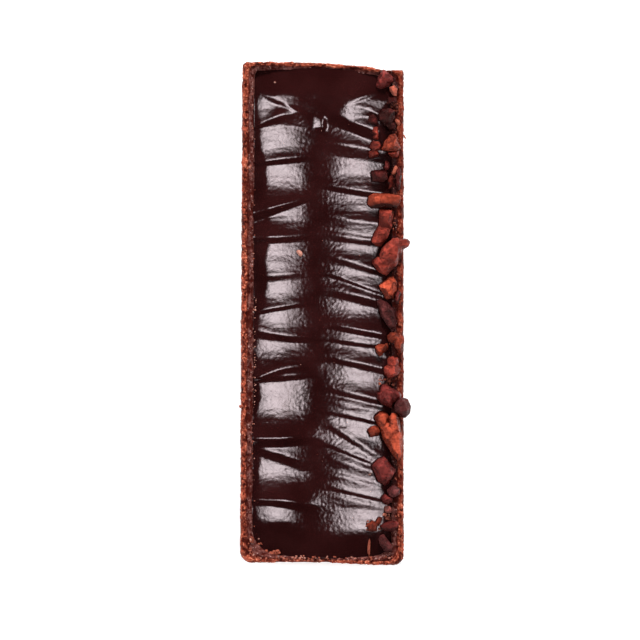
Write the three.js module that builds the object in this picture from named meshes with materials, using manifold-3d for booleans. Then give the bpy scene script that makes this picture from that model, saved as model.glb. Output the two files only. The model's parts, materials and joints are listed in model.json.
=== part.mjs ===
// A rectangular chocolate tart: a cocoa shortcrust shell, a glossy domed ganache filling raked into
// crosswise folds, and a line of cacao nibs pressed along one long side.
// Millimetres, +Z up. The origin is the centre of the shell's flat base, X runs across the tart
// towards the nibs, and Y runs along it towards the squarer far end.

import * as THREE from "three";
import { ConvexGeometry } from "three/addons/geometries/ConvexGeometry.js";
import { mergeVertices } from "three/addons/utils/BufferGeometryUtils.js";
import Module from "manifold-3d";

const wasm = await Module();
wasm.setup();

// ---- driving dimensions -------------------------------------------------------------------------

const LENGTH = 123; // shell, end to end
const WIDTH = 40; // shell, side to side
const HEIGHT = 20; // base to rim
const SIDE_WALL = 3.0; // rim thickness along the long sides
const FAR_WALL = 1.9; // rim thickness at the far end
const NEAR_WALL = 1.3; // rim thickness in the middle of the near end, which the filling creeps over
const FLOOR = 3.0; // dough under the filling
const GAP = 0.3; // clearance between touching pieces
const EDGE_DROP = 1.2; // the filling's edge lies this far below the rim
const DOME = 2.4; // the filling's crown stands this far above its edge
const CROWN_X = -1.6; // the crown runs a little towards the bare side
const END_LENGTH = 9; // the filling slopes down to each end over this length
const END_DROP = 1.3;
const FOLD_DROP = 1.1; // width of a fold's steep side
const FAR_SLANT = -1.6; // the far end runs back towards the nib side
const NEAR_SLANT = -0.7; // and the near end a little the same way
const NEAR_FLARE = 0.008; // share by which the near end is wider
const CHIP = { x: 15.6, width: 2.9, depth: 2.6, lean: 8 }; // gap in the far wall, where a nib lies

const HALF_LENGTH = LENGTH / 2;
const HALF_WIDTH = WIDTH / 2;

// Folds of the filling, from the far end: how far down the tart each crest lies at its middle end and
// at the wall, how far it bows, and how high it stands.
const LEFT_FOLDS = [
  [7.5, 7.0, 0, 0.25],
  [14.1, 8.6, 1.0, 0.35],
  [14.1, 16.3, -1.0, 0.55],
  [23.5, 25.0, 0, 0.5],
  [34.0, 37.0, -0.3, 0.5],
  [42.7, 43.5, 0.3, 0.55],
  [52.3, 51.8, 0, 0.2],
  [60.0, 62.2, -0.3, 0.45],
  [68.4, 66.4, 0.3, 0.5],
  [74.8, 79.0, -1.2, 0.4],
  [77.3, 78.5, 0, 0.35],
  [82.2, 81.7, 0, 0.15],
  [92.6, 92.8, 0.7, 0.6],
  [99.0, 93.3, 0, 0.5],
  [109.1, 108.4, -0.3, 0.6],
];
const RIGHT_FOLDS = [
  [12.3, 5.7, 0, 0.3],
  [12.4, 12.8, -2.2, 0.4],
  [14.8, 21.7, 0, 0.4],
  [20.2, 21.2, 0, 0.6],
  [29.4, 32.1, 0.3, 0.55],
  [38.0, 40.2, -0.3, 0.45],
  [43.7, 44.7, 0, 0.3],
  [47.9, 52.1, 0, 0.5],
  [56.3, 59.5, -0.3, 0.5],
  [59.3, 63.7, -1.2, 0.3],
  [64.7, 67.2, 0, 0.45],
  [68.4, 69.9, 0, 0.3],
  [72.8, 75.8, 0, 0.5],
  [80.2, 84.0, -0.3, 0.45],
  [83.0, 86.4, -0.5, 0.3],
  [85.4, 89.4, 0, 0.2],
  [93.3, 100.7, 0, 0.35],
  [96.3, 101.7, 0, 0.35],
  [100.2, 104.7, 0, 0.35],
  [104.7, 107.7, 0, 0.45],
  [112.1, 118.3, 0, 0.5],
];

// Cacao nibs from the far end to the near one. Each is one or more angular chunks, with the corners
// of a chunk's plan, its height, and its lift off what it lies on.
const NIBS = {
  nib_01: {
    tone: "maroon",
    chunks: [
      { height: 3, lift: 0.2, plan: [
        [13.3, 55.9], [14.4, 55.4], [16.6, 56.1], [17.5, 56.9], [17.2, 58.9], [15, 60.2], [13.7, 58.2],
      ] },
    ],
  },
  nib_02: {
    tone: "orange",
    chunks: [
      { height: 2.2, lift: 0, plan: [
        [16.6, 56.1], [16.7, 55], [17.3, 53.9], [18.1, 53.6], [18.7, 54.2], [18.3, 55.5], [17.5, 56.4],
      ] },
    ],
  },
  nib_03: {
    tone: "dark",
    chunks: [
      { height: 1.6, lift: 0, plan: [[16.2, 51.8], [18.3, 51.8], [18.4, 53.2], [16.1, 53.1]] },
    ],
  },
  nib_04: {
    tone: "dark",
    chunks: [
      { height: 3, lift: 0.3, plan: [
        [13.8, 48.7], [13.9, 47.6], [15, 46.8], [16.8, 46.8], [17.8, 48.3], [17.8, 49.9], [16.4, 50.6],
        [14.9, 50.3],
      ] },
      { height: 2.5, lift: 0, plan: [
        [14.7, 46.3], [15.9, 45.1], [17.5, 44.8], [18.7, 45.4], [18.5, 46.6], [17.4, 47.8], [15, 47.3],
      ] },
    ],
  },
  nib_05: {
    tone: "dark",
    chunks: [
      { height: 2.4, lift: 0, plan: [
        [11.3, 47.4], [11.5, 46.4], [12.5, 46], [13.6, 46.6], [13.6, 47.9], [12.6, 49.1], [11.7, 48.8],
      ] },
    ],
  },
  nib_06: {
    tone: "red",
    chunks: [
      { height: 2, lift: 0, plan: [
        [12.3, 46], [12.4, 44.3], [12.5, 42.9], [13.9, 42.9], [13.7, 44.5], [13.6, 46],
      ] },
    ],
  },
  nib_07: {
    tone: "red",
    chunks: [
      { height: 2.2, lift: 0.2, plan: [
        [11.7, 40.9], [12.6, 40], [14.2, 40.3], [14.5, 41.3], [13.9, 42.7], [12.6, 42.7],
      ] },
      { height: 2.4, lift: 0, plan: [
        [11.3, 39.7], [11.6, 38.3], [13.3, 38.1], [14.3, 38.8], [13.7, 40], [12.4, 40.4],
      ] },
    ],
  },
  nib_08: {
    tone: "red",
    chunks: [
      { height: 2, lift: 0, plan: [
        [16.2, 39.6], [16.9, 38.5], [18.4, 38.2], [19.3, 39.1], [19.2, 40], [17.6, 39.9],
      ] },
    ],
  },
  nib_09: {
    tone: "orange",
    chunks: [
      { height: 3.2, lift: 0.4, plan: [
        [14.6, 40.3], [16.2, 40], [18.5, 40.2], [19.5, 40.9], [18.7, 42.9], [17.9, 44.2], [16.6, 43.9],
        [15.2, 42],
      ] },
    ],
  },
  nib_10: {
    tone: "maroon",
    chunks: [
      { height: 2, lift: 0, plan: [
        [15, 36.3], [15.6, 35.2], [16.5, 35.7], [16.5, 37], [15.9, 37.9], [15.1, 37.5],
      ] },
    ],
  },
  nib_11: {
    tone: "dark",
    chunks: [
      { height: 2.8, lift: 0, plan: [
        [11.7, 33.9], [12.3, 32.6], [15, 32.4], [16.1, 33.2], [15.9, 34.8], [15, 35.7], [13.6, 35.5],
        [12.3, 35],
      ] },
    ],
  },
  nib_12: {
    tone: "red",
    chunks: [
      { height: 1.6, lift: 0, plan: [
        [16.2, 32.5], [16.3, 30.2], [17, 30.2], [17.5, 32.2], [17.6, 34.7], [16.9, 34.9],
      ] },
    ],
  },
  nib_13: {
    tone: "dark",
    chunks: [
      { height: 1.8, lift: 0, plan: [
        [17.9, 32.4], [18.2, 30], [19, 30.3], [19.5, 33.6], [19.2, 36.4], [18.4, 36.3],
      ] },
    ],
  },
  nib_14: {
    tone: "red",
    chunks: [
      { height: 3, lift: 0, plan: [
        [13.9, 20.8], [17, 20.8], [17.5, 23.5], [17.2, 25.4], [14.1, 25.6], [14.1, 23.2],
      ] },
      { height: 3, lift: 0, plan: [
        [12.1, 17.6], [12.8, 16.4], [14.4, 16.5], [16, 18.5], [17.1, 21.4], [13.9, 21.4], [12.5, 19.2],
      ] },
    ],
  },
  nib_15: {
    tone: "orange",
    chunks: [
      { height: 2.6, lift: 0.5, plan: [
        [11.2, 26.9], [12.4, 26], [15.3, 25.8], [18.4, 26.2], [19.3, 27.1], [19.3, 28.9], [16.5, 29.4],
        [12.5, 29.5], [11.4, 28.8],
      ] },
    ],
  },
  nib_16: {
    tone: "red",
    chunks: [
      { height: 3.8, lift: 0.2, plan: [
        [13.9, 15.2], [14.9, 11.9], [18.1, 11.5], [19.3, 13.5], [19.7, 16], [19.3, 18.7], [17.5, 18.5],
        [15.3, 16.6],
      ] },
      { height: 3.2, lift: 0, plan: [
        [12.3, 12.9], [12.5, 12], [14.6, 9.3], [15.9, 9.4], [18, 11.6], [16.6, 13.8], [13.6, 13.8],
      ] },
      { height: 2.4, lift: 0.6, plan: [
        [18.4, 16.4], [20.2, 15.9], [21.2, 16.5], [21.6, 17.5], [20.9, 18.5], [18.4, 18.2],
      ] },
    ],
  },
  nib_17: {
    tone: "orange",
    chunks: [
      { height: 3.2, lift: 0, plan: [
        [14, 6.8], [15.1, 5.2], [15.7, 3.5], [17.5, 3.6], [18.2, 5.2], [18.6, 7.4], [18.1, 9.1],
        [16.5, 9],
      ] },
    ],
  },
  nib_18: {
    tone: "dark",
    chunks: [
      { height: 1.8, lift: 0, plan: [
        [17.9, 4.3], [18.2, 2.4], [19, 2.2], [19.5, 3.6], [19.3, 5.2], [18.4, 5.8],
      ] },
    ],
  },
  nib_19: {
    tone: "mauve",
    chunks: [
      { height: 2.8, lift: 0, plan: [
        [13, 3.5], [13.8, 1.2], [14.9, -1.4], [16.3, -3.1], [17.3, -4.6], [18.1, -4.5], [18.3, -2.6],
        [17.6, 1], [16, 2.9], [14.5, 4.5],
      ] },
    ],
  },
  nib_20: {
    tone: "orange",
    chunks: [
      { height: 2, lift: 0, plan: [
        [16, -5.6], [16.3, -6.9], [17.6, -7.4], [18.8, -6.4], [18.5, -5], [16.9, -4.8],
      ] },
      { height: 2.2, lift: 0, plan: [
        [17.6, -6.8], [18, -8.4], [19, -9.9], [19.7, -9.7], [20.1, -7.1], [20.1, -5.2], [18.2, -5],
      ] },
    ],
  },
  nib_21: {
    tone: "orange",
    chunks: [
      { height: 2.4, lift: 0, plan: [
        [13.1, -8.3], [13.4, -9.8], [14.1, -10.7], [14.9, -10.2], [16.3, -8.6], [16.2, -7.6], [14, -7.5],
      ] },
    ],
  },
  nib_22: {
    tone: "red",
    chunks: [
      { height: 2.8, lift: 0.2, plan: [
        [16.1, -12.5], [16.3, -13.5], [18.4, -13.5], [18.8, -12.3], [18.5, -11], [17.4, -10.7],
        [16.2, -11.2],
      ] },
      { height: 3, lift: 0, plan: [
        [15.1, -13.4], [15.4, -15.3], [16.3, -16.1], [17.5, -15.8], [18.7, -15], [19.3, -13.8],
        [18.5, -12.9], [16.5, -12.7],
      ] },
    ],
  },
  nib_23: {
    tone: "maroon",
    chunks: [
      { height: 3.6, lift: 0, plan: [
        [14, -18.4], [14.7, -21], [15.6, -22.8], [16.9, -23.4], [18, -20.9], [17.8, -18.7],
        [16.5, -18.1], [15.2, -17.5],
      ] },
      { height: 3.2, lift: 0, plan: [
        [16.8, -20.9], [17.8, -21.8], [19.7, -20.9], [19.1, -19.6], [17.3, -18.8],
      ] },
      { height: 2.8, lift: 0, plan: [
        [13.1, -19.8], [13.5, -21.5], [15.2, -22.7], [16, -21.2], [14.6, -19.4],
      ] },
    ],
  },
  nib_24: {
    tone: "mauve",
    chunks: [
      { height: 3.6, lift: 0.8, plan: [
        [17.8, -22.7], [18.1, -24.1], [19.3, -25.4], [20.5, -25.8], [21.6, -24.5], [21.8, -23],
        [21, -21.2], [19.6, -20.9], [18.6, -21.4],
      ] },
    ],
  },
  nib_25: {
    tone: "orange",
    chunks: [
      { height: 3.4, lift: 0, plan: [
        [14.2, -27.4], [14.9, -30.9], [16.1, -33], [17.9, -35.6], [18.8, -36.5], [19.4, -35],
        [19.7, -31], [19.2, -28], [17, -27],
      ] },
      { height: 3.3, lift: 0.2, plan: [
        [12.9, -25.6], [13.3, -27.2], [14.4, -28.6], [16, -28.6], [16.4, -25.6], [15.7, -24.4],
        [14.6, -24.1], [13.6, -24.6],
      ] },
      { height: 3.2, lift: 0.3, plan: [
        [16.5, -25.7], [16.6, -28.2], [17.2, -30.2], [19.4, -29.8], [19, -27], [18.3, -24.9],
        [17.4, -24.7],
      ] },
    ],
  },
  nib_26: {
    tone: "orange",
    chunks: [
      { height: 2.4, lift: 0, plan: [
        [11.1, -29.2], [11.5, -30.4], [12.6, -30.9], [13.7, -30.4], [14.2, -29.2], [13.8, -28.1],
        [12.6, -27.7], [11.5, -28],
      ] },
    ],
  },
  nib_27: {
    tone: "maroon",
    chunks: [
      { height: 3.6, lift: 0, plan: [
        [12.3, -37.8], [13.4, -40.2], [14.1, -42], [15.5, -42.6], [16.8, -41.5], [17.8, -40],
        [18, -38.4], [16.2, -36.4], [15, -35.4], [13.4, -36.3],
      ] },
    ],
  },
  nib_28: {
    tone: "mauve",
    chunks: [
      { height: 2.2, lift: 0, plan: [
        [16, -43.7], [16.5, -45.1], [17.7, -45.6], [19, -44.6], [19.1, -43], [17.2, -42.6],
      ] },
    ],
  },
  nib_29: {
    tone: "maroon",
    chunks: [
      { height: 2.2, lift: 0, plan: [
        [14.6, -45.4], [14.8, -46.7], [15.9, -47.3], [17.1, -46.6], [17.4, -45.6], [16.5, -44.6],
        [15.4, -44.6],
      ] },
    ],
  },
  nib_30: {
    tone: "maroon",
    chunks: [
      { height: 2, lift: 0, plan: [
        [14.9, -48.4], [15.2, -49.2], [16.4, -49.5], [17.4, -49.1], [17.6, -48.2], [16.7, -47.5],
        [15.5, -47.7],
      ] },
    ],
  },
  nib_31: {
    tone: "maroon",
    chunks: [
      { height: 2.4, lift: 0, plan: [
        [14.1, -52.4], [14.1, -53.3], [15.4, -54], [17.4, -53.9], [19, -53], [19.5, -51.7], [18.4, -51],
        [16.4, -51.4],
      ] },
    ],
  },
  nib_32: {
    tone: "orange",
    chunks: [
      { height: 2, lift: 0, plan: [
        [10.9, -51.9], [11.4, -53.9], [13.3, -53.8], [13.8, -52.1], [12.3, -51.1],
      ] },
      { height: 1.8, lift: 0, plan: [
        [13, -51.7], [13.8, -52.5], [15.2, -51.4], [15, -50.4], [13.8, -50.3],
      ] },
    ],
  },
  nib_33: {
    tone: "mauve",
    chunks: [
      { height: 2.4, lift: 0, plan: [
        [13.3, -55.3], [14, -57], [15.1, -58.4], [16.6, -59.9], [17.9, -59.4], [17.7, -58.4],
        [16.5, -56.5], [15, -54.5], [14.1, -54.5],
      ] },
    ],
  },
};
const NIB_SINK = 0.5; // a nib is pressed this far into what it lies on
const NIB_FOOT = 0.82; // a chunk's foot beside its waist
const NIB_ROOF = [0.4, 0.7]; // the corners of its roof lie between these shares of the way out
const SLIVER = 0.02; // edges finer than this are merged after trimming
const NIB_COLOURS = {
  dark: 0x3a1a16,
  mauve: 0x54292a,
  maroon: 0x6b2a26,
  red: 0x8a3a28,
  orange: 0xa9502f,
};

// ---- helpers ------------------------------------------------------------------------------------

const smooth = (t) => THREE.MathUtils.smoothstep(t, 0, 1);
const mix = THREE.MathUtils.lerp;

function randomFrom(seed) {
  let state = seed >>> 0;
  return () => {
    state = (state + 0x6d2b79f5) >>> 0;
    let t = Math.imul(state ^ (state >>> 15), 1 | state);
    t = (t + Math.imul(t ^ (t >>> 7), 61 | t)) ^ t;
    return ((t ^ (t >>> 14)) >>> 0) / 4294967296;
  };
}

// The tart is hand-lined, so its plan is not quite a rectangle.
function settle(x, y) {
  const along = y / HALF_LENGTH;
  const slant = along > 0 ? FAR_SLANT : NEAR_SLANT;
  const nibSide = smooth((x + 2) / HALF_WIDTH);
  return [x * (1 - NEAR_FLARE * along), y + slant * Math.abs(along) ** 3 * nibSide];
}

function indexedGeometry(points, triangles) {
  const geometry = new THREE.BufferGeometry();
  geometry.setAttribute("position", new THREE.Float32BufferAttribute(points.flat(), 3));
  geometry.setIndex(triangles);
  return geometry;
}

function toSolid(geometry) {
  const bare = geometry.clone();
  bare.deleteAttribute("normal");
  bare.deleteAttribute("uv");
  const merged = mergeVertices(bare, 1e-3);
  return new wasm.Manifold(
    new wasm.Mesh({
      numProp: 3,
      vertProperties: new Float32Array(merged.attributes.position.array),
      triVerts: new Uint32Array(merged.index.array),
    }),
  );
}

function fromSolid(solid) {
  const mesh = solid.getMesh();
  const geometry = new THREE.BufferGeometry();
  geometry.setAttribute("position", new THREE.BufferAttribute(mesh.vertProperties, 3));
  geometry.setIndex(new THREE.BufferAttribute(mesh.triVerts, 1));
  return geometry;
}

function largestBody(solid) {
  return solid.decompose().sort((a, b) => b.volume() - a.volume())[0];
}

// ---- plan outlines ------------------------------------------------------------------------------

const SHELL_PLAN = {
  half: HALF_WIDTH,
  near: HALF_LENGTH,
  far: HALF_LENGTH,
  // corner radii, anticlockwise from the near corner on the nib side
  radii: [3.0, 1.0, 1.0, 3.8],
  nearBow: 0,
};
const FILLING_PLAN = {
  half: HALF_WIDTH - SIDE_WALL,
  near: HALF_LENGTH - NEAR_WALL,
  far: HALF_LENGTH - FAR_WALL,
  radii: [4.0, 1.5, 1.2, 6.0],
  nearBow: 1.4, // the near edge curls up by this much towards its corners
};
const ARC_STEPS = 4;
const LONG_STEPS = 28;
const SHORT_STEPS = 12;

// Points round a rounded rectangle, anticlockwise, drawn in by inset.
function ring(plan, inset) {
  const half = plan.half - inset;
  const near = -(plan.near - inset);
  const far = plan.far - inset;
  const corners = [
    { sx: 1, y: near, sy: -1, from: -90 },
    { sx: 1, y: far, sy: 1, from: 0 },
    { sx: -1, y: far, sy: 1, from: 90 },
    { sx: -1, y: near, sy: -1, from: 180 },
  ];
  const points = [];
  corners.forEach((corner, i) => {
    const r = Math.max(plan.radii[i] - inset, 0.5);
    const cx = corner.sx * (half - r);
    const cy = corner.y - corner.sy * r;
    for (let k = 0; k <= ARC_STEPS; k++) {
      const a = THREE.MathUtils.degToRad(corner.from + (90 * k) / ARC_STEPS);
      points.push([cx + r * Math.cos(a), cy + r * Math.sin(a)]);
    }
    const next = corners[(i + 1) % 4];
    const rNext = Math.max(plan.radii[(i + 1) % 4] - inset, 0.5);
    const start = points[points.length - 1];
    const end =
      i % 2 === 0 ? [next.sx * half, next.y - next.sy * rNext] : [next.sx * (half - rNext), next.y];
    const steps = i % 2 === 0 ? LONG_STEPS : SHORT_STEPS;
    for (let k = 1; k < steps; k++) {
      points.push([mix(start[0], end[0], k / steps), mix(start[1], end[1], k / steps)]);
    }
  });
  return points.map(([x, y]) => {
    const curl = y < 0 ? plan.nearBow * (x / plan.half) ** 2 * (y / plan.near) ** 8 : 0;
    return settle(x, y + curl);
  });
}

// A gentle uneven wave round the rim, from -1 to 1.
function waver(index, count, phase) {
  const a = (2 * Math.PI * index) / count;
  return (
    0.5 * Math.sin(7 * a + phase) + 0.3 * Math.sin(19 * a + 2.3 * phase) + 0.2 * Math.sin(37 * a)
  );
}

// ---- shell --------------------------------------------------------------------------------------

// The shell's skin as rings from the base, up the outside, over the rim and down to the floor.
// Grown by a clearance, it cuts what lies against it.
function shellGeometry(grow) {
  const inner = (inset) => ring(FILLING_PLAN, inset - GAP + grow);
  const outer = (inset) => ring(SHELL_PLAN, inset - grow);
  const between = (share) => {
    const from = outer(0.35);
    const to = inner(0);
    return from.map(([x, y], i) => [mix(x, to[i][0], share), mix(y, to[i][1], share)]);
  };
  const rim = HEIGHT + grow;
  const rings = [
    { plan: outer(1.0), z: 0, wave: 0 },
    { plan: outer(0.25), z: 0.3, wave: 0 },
    { plan: outer(0), z: 1.1, wave: 0 },
    { plan: outer(0), z: 0.5 * HEIGHT, wave: 0 },
    { plan: outer(0), z: rim - 0.8, wave: 0.1 },
    { plan: outer(0.35), z: rim - 0.2, wave: 0.15 },
    { plan: between(0.35), z: rim, wave: 0.15 },
    { plan: between(0.7), z: rim - 0.3, wave: 0.15 },
    { plan: inner(0), z: rim - 1.0, wave: 0.1 },
    { plan: inner(0), z: FLOOR + 1.2 + grow, wave: 0 },
    { plan: inner(1.4), z: FLOOR + grow, wave: 0 },
  ];
  const count = rings[0].plan.length;
  const points = [[0, 0, 0]];
  for (const { plan, z, wave } of rings) {
    plan.forEach(([x, y], i) => points.push([x, y, z + wave * waver(i, count, 1.7)]));
  }
  points.push([0, 0, FLOOR + grow]);
  const top = points.length - 1;
  const last = 1 + (rings.length - 1) * count;
  const triangles = [];
  for (let i = 0; i < count; i++) {
    const j = (i + 1) % count;
    triangles.push(0, 1 + j, 1 + i);
    for (let r = 0; r < rings.length - 1; r++) {
      const low = 1 + r * count;
      const high = low + count;
      triangles.push(low + i, low + j, high + j, low + i, high + j, high + i);
    }
    triangles.push(last + i, last + j, top);
  }
  return indexedGeometry(points, triangles);
}

// The shell with the chip broken out of its far wall, near the nib side.
function shellSolid(grow) {
  const chip = new THREE.BoxGeometry(CHIP.width - 2 * grow, 6, 2 * (CHIP.depth - grow), 1, 1, 1);
  chip.rotateY(THREE.MathUtils.degToRad(CHIP.lean));
  chip.translate(CHIP.x, HALF_LENGTH + FAR_SLANT + 1, HEIGHT);
  return toSolid(shellGeometry(grow)).subtract(toSolid(chip));
}

// ---- filling ------------------------------------------------------------------------------------

// Height of one side's folds at a place that is `down` along the tart and `out` from the middle (0)
// to the wall (1). Each fold climbs gently to its crest and drops steeply behind it.
function foldHeight(folds, down, out) {
  const crests = folds.map(([middle, wall, bow]) => mix(middle, wall, out) + 4 * bow * out * (1 - out));
  let height = 0;
  for (let k = -1; k < folds.length; k++) {
    const from = k < 0 ? crests[0] - 8 : crests[k];
    const to = k + 1 < folds.length ? crests[k + 1] : crests[k] + 9;
    if (down < from || down >= to) continue;
    const span = to - from;
    const behind = k < 0 ? 0 : folds[k][3] * THREE.MathUtils.clamp(span / 4, 0.15, 1);
    const ahead = k + 1 < folds.length ? folds[k + 1][3] : 0;
    const drop = Math.min(FOLD_DROP, 0.3 * span);
    height = behind * (1 - smooth((down - from) / drop));
    height += ahead * smooth((down - from - 0.45 * span) / (0.41 * span));
  }
  return height;
}

function fillingTop(x, y) {
  const half = FILLING_PLAN.half;
  const across = (x - CROWN_X) / (x < CROWN_X ? half + CROWN_X : half - CROWN_X);
  const nearEnd = Math.max(0, Math.abs(y) - (FILLING_PLAN.far - END_LENGTH)) / END_LENGTH;
  const down = HALF_LENGTH - y;
  const left = smooth((-x - 2.8) / 4) * foldHeight(LEFT_FOLDS, down, (-x - 4.3) / (half - 4.5));
  const right = smooth((x - 0.2) / 4) * foldHeight(RIGHT_FOLDS, down, (x - 1.9) / (half - 3.5));
  const dome = DOME * (1 - across ** 2) - END_DROP * nearEnd ** 2;
  return HEIGHT - EDGE_DROP + dome + left + right;
}

const COLUMNS = 16;
const ROWS = 82;

// How far the filling's plan narrows at a distance from its end, for a corner of radius r.
function cornerInset(r, fromEnd) {
  return fromEnd < r ? r - Math.sqrt(r * r - (r - fromEnd) ** 2) : 0;
}

// A point of the filling's plan, with across and along from 0 to 1, drawn out by grow.
function fillingPlan(across, along, grow) {
  const half = FILLING_PLAN.half + grow;
  const near = FILLING_PLAN.near + grow;
  const far = FILLING_PLAN.far + grow;
  const y = mix(-near, far, along);
  const [nearRight, farRight, farLeft, nearLeft] = FILLING_PLAN.radii.map((r) => r + grow);
  const left = -half + Math.max(cornerInset(nearLeft, y + near), cornerInset(farLeft, far - y));
  const right = half - Math.max(cornerInset(nearRight, y + near), cornerInset(farRight, far - y));
  const x = mix(left, right, across);
  const curl = y < 0 ? FILLING_PLAN.nearBow * (x / half) ** 2 * (y / near) ** 8 : 0;
  return [x, y + curl];
}

// The filling as one solid. Grown by a clearance, it cuts what lies on it.
function fillingGeometry(grow) {
  const points = [];
  for (let row = 0; row <= ROWS; row++) {
    for (let column = 0; column <= COLUMNS; column++) {
      const [across, along] = [column / COLUMNS, row / ROWS];
      const top = fillingTop(...fillingPlan(across, along, 0));
      points.push([...settle(...fillingPlan(across, along, grow)), top + grow]);
    }
  }
  const at = (row, column) => row * (COLUMNS + 1) + column;
  const triangles = [];
  for (let row = 0; row < ROWS; row++) {
    for (let column = 0; column < COLUMNS; column++) {
      const [a, b] = [at(row, column), at(row, column + 1)];
      const [c, d] = [at(row + 1, column + 1), at(row + 1, column)];
      triangles.push(a, b, c, a, c, d);
    }
  }
  const rim = [];
  for (let column = 0; column < COLUMNS; column++) rim.push(at(0, column));
  for (let row = 0; row < ROWS; row++) rim.push(at(row, COLUMNS));
  for (let column = COLUMNS; column > 0; column--) rim.push(at(ROWS, column));
  for (let row = ROWS; row > 0; row--) rim.push(at(row, 0));
  const base = points.length;
  const shrink = (value, by) => value - Math.sign(value) * by;
  const bottom = FLOOR + GAP;
  const heel = rim.map((i) => [shrink(points[i][0], 1.5), shrink(points[i][1], 1.5), bottom]);
  const foot = rim.map((i) => [points[i][0], points[i][1], bottom + 1.3]);
  points.push(...foot, ...heel, [0, 0, bottom]);
  const centre = points.length - 1;
  rim.forEach((a, i) => {
    const j = (i + 1) % rim.length;
    const [footA, footB] = [base + i, base + j];
    const [heelA, heelB] = [base + rim.length + i, base + rim.length + j];
    triangles.push(a, footB, rim[j], a, footA, footB);
    triangles.push(footA, heelB, footB, footA, heelA, heelB);
    triangles.push(heelA, centre, heelB);
  });
  return indexedGeometry(points, triangles);
}

// ---- nibs ---------------------------------------------------------------------------------------

// Height of whatever a nib lies on.
function restingHeight(x, y) {
  const inFilling = Math.abs(x) < FILLING_PLAN.half && Math.abs(y) < FILLING_PLAN.near;
  return inFilling ? fillingTop(x, y) : HEIGHT;
}

// One angular chunk: the hull of a drawn-in foot, the full plan at an uneven waist and a smaller,
// uneven roof. Grown by a clearance, it cuts what lies against it.
function chunkGeometry({ height, lift, plan }, seed, grow) {
  const random = randomFrom(seed);
  const count = plan.length;
  const middle = plan.reduce(([sx, sy], [x, y]) => [sx + x / count, sy + y / count], [0, 0]);
  const base = restingHeight(...middle) - NIB_SINK + lift;
  const corner = ([x, y], share, rise) =>
    new THREE.Vector3(mix(middle[0], x, share), mix(middle[1], y, share), base + rise * height);
  const corners = plan.flatMap((point) => [
    corner(point, NIB_FOOT, 0),
    corner(point, 1, 0.35 + 0.3 * random()),
    corner(point, mix(...NIB_ROOF, random()), 0.82 + 0.18 * random()),
  ]);
  const centre = new THREE.Vector3(...middle, base + height / 2);
  for (const point of corners) {
    const outward = point.clone().sub(centre).normalize();
    point.addScaledVector(outward, 1.3 * grow);
  }
  return new ConvexGeometry(corners);
}

function nibSolid({ chunks }, seed, grow) {
  return chunks
    .map((chunk, i) => toSolid(chunkGeometry(chunk, seed * 10 + i, grow)))
    .reduce((whole, chunk) => whole.add(chunk));
}

// Each nib is trimmed by the filling, the shell and the nibs laid before it.
function nibMeshes() {
  const cutters = [toSolid(fillingGeometry(GAP)), shellSolid(GAP)];
  return Object.entries(NIBS).map(([name, nib], i) => {
    const trimmed = cutters.reduce((left, cutter) => left.subtract(cutter), nibSolid(nib, i + 1, 0));
    cutters.push(nibSolid(nib, i + 1, GAP));
    const rough = fromSolid(largestBody(trimmed.simplify(SLIVER)));
    const material = new THREE.MeshStandardMaterial({
      color: NIB_COLOURS[nib.tone],
      roughness: 0.6,
      metalness: 0,
    });
    const mesh = new THREE.Mesh(fromSolid(largestBody(toSolid(rough))), material);
    mesh.name = name;
    return mesh;
  });
}

// ---- the tart -----------------------------------------------------------------------------------

function crustMesh() {
  const material = new THREE.MeshStandardMaterial({ color: 0x7a3327, roughness: 0.9, metalness: 0 });
  const mesh = new THREE.Mesh(fromSolid(shellSolid(0)), material);
  mesh.name = "crust";
  return mesh;
}

function ganacheMesh() {
  const material = new THREE.MeshStandardMaterial({ color: 0x250606, roughness: 0.2, metalness: 0 });
  const mesh = new THREE.Mesh(fillingGeometry(0), material);
  mesh.name = "ganache";
  return mesh;
}

const tart = new THREE.Group();
tart.add(crustMesh(), ganacheMesh(), ...nibMeshes());

export default tart;
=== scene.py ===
"""The looks of the chocolate tart: baked cocoa shortcrust, raked glossy ganache and broken cacao nibs.

The tart's shapes are worked out in millimetres in the part's own frame, and become metres when a piece
is made. The stage, the lights and the camera are in metres.
"""

import json
import math
from typing import NamedTuple

import bmesh
import bpy
import numpy as np
from mathutils import Matrix, Vector, noise


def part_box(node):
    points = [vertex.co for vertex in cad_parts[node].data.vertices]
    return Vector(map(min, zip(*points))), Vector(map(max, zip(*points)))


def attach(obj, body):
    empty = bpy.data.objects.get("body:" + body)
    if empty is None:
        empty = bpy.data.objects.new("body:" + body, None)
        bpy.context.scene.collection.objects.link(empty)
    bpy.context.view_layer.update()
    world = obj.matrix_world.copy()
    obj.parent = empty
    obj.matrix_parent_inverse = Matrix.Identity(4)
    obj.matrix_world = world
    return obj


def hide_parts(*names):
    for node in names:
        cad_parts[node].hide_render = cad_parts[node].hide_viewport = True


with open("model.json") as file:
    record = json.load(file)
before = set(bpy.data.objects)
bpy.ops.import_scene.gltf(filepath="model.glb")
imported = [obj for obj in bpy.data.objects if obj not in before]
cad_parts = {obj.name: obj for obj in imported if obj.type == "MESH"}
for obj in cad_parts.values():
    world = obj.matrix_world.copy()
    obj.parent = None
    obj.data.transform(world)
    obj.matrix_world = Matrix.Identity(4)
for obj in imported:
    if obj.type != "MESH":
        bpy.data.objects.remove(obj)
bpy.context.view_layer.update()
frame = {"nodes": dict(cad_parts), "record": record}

MM = 0.001

# ---- sizes from the frame ------------------------------------------------------------------------

NEAR_FLARE = 0.008  # by what share the near end is wider than the middle
RIM_WAVE = 0.1  # how far the CAD's rim waves up from its mean height
GAP = 0.3  # between the CAD's filling and its shell


def corners_mm(node):
    """The lowest and the highest corner of the node's box."""
    low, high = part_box(node)
    return np.array(low) / MM, np.array(high) / MM


shell_low, shell_high = corners_mm("crust")
filling_low, _ = corners_mm("ganache")

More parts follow.
